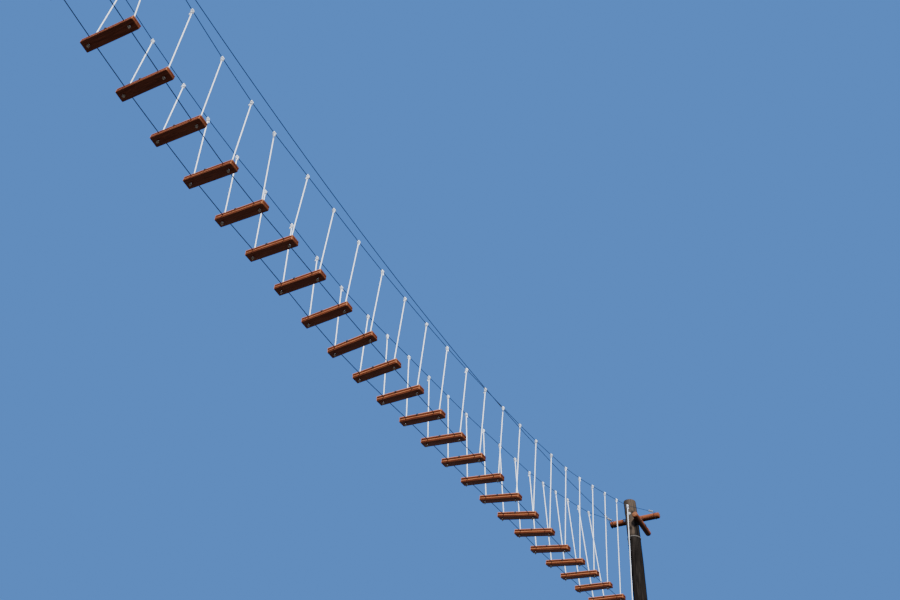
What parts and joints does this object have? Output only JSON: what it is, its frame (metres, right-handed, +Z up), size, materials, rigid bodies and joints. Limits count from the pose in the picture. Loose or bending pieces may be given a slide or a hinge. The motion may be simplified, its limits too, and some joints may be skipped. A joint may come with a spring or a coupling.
{
  "type": "rope suspension footbridge",
  "caption": "Rope suspension footbridge: spaced wooden treads clamped on wire foot cables, hung by rope hangers from hand cables, with an overhead safety cable, between tall log poles.",
  "frame": {"origin": "on the near pole's flat foot at ground level, in the upright plane through the middle of the treads", "axes": "+X along the bridge from the near pole to the far pole, +Y to the left on the way across, +Z up"},
  "size_m": [23.562, 1.1431, 15.1608],
  "materials": {
    "tread_wood": "oil-stained boards, worn",
    "log": "weathered peeled log",
    "landing_wood": "rough-sawn, weathered",
    "cable": "galvanised wire rope, dulled",
    "rope": "laid polyester, weathered"
  },
  "bodies": {
    "root": {"tread_01": "tread_wood", "tread_02": "tread_wood", "tread_03": "tread_wood", "tread_04": "tread_wood", "tread_05": "tread_wood", "tread_06": "tread_wood", "tread_07": "tread_wood", "tread_08": "tread_wood", "tread_09": "tread_wood", "tread_10": "tread_wood", "tread_11": "tread_wood", "tread_12": "tread_wood", "tread_13": "tread_wood", "tread_14": "tread_wood", "tread_15": "tread_wood", "tread_16": "tread_wood", "tread_17": "tread_wood", "tread_18": "tread_wood", "tread_19": "tread_wood", "tread_20": "tread_wood", "tread_21": "tread_wood", "tread_22": "tread_wood", "tread_23": "tread_wood", "tread_24": "tread_wood", "tread_25": "tread_wood", "tread_26": "tread_wood", "tread_27": "tread_wood", "tread_28": "tread_wood", "tread_29": "tread_wood", "tread_30": "tread_wood", "tread_31": "tread_wood", "tread_32": "tread_wood", "tread_33": "tread_wood", "foot_cable_left": "cable", "foot_cable_right": "cable", "safety_cable": "cable", "side_line_left": "rope", "side_line_right": "rope", "pole_near": "log", "pole_far": "log", "crossarm_near": "log", "crossarm_far": "log", "rear_arm_near": "log", "rear_arm_far": "log", "foot_beam_near": "log", "foot_beam_far": "log", "landing_deck_near": "landing_wood", "landing_deck_far": "landing_wood", "landing_bearer_left_near": "landing_wood", "landing_bearer_right_near": "landing_wood", "landing_bearer_left_far": "landing_wood", "landing_bearer_right_far": "landing_wood"}
  },
  "joints": []
}
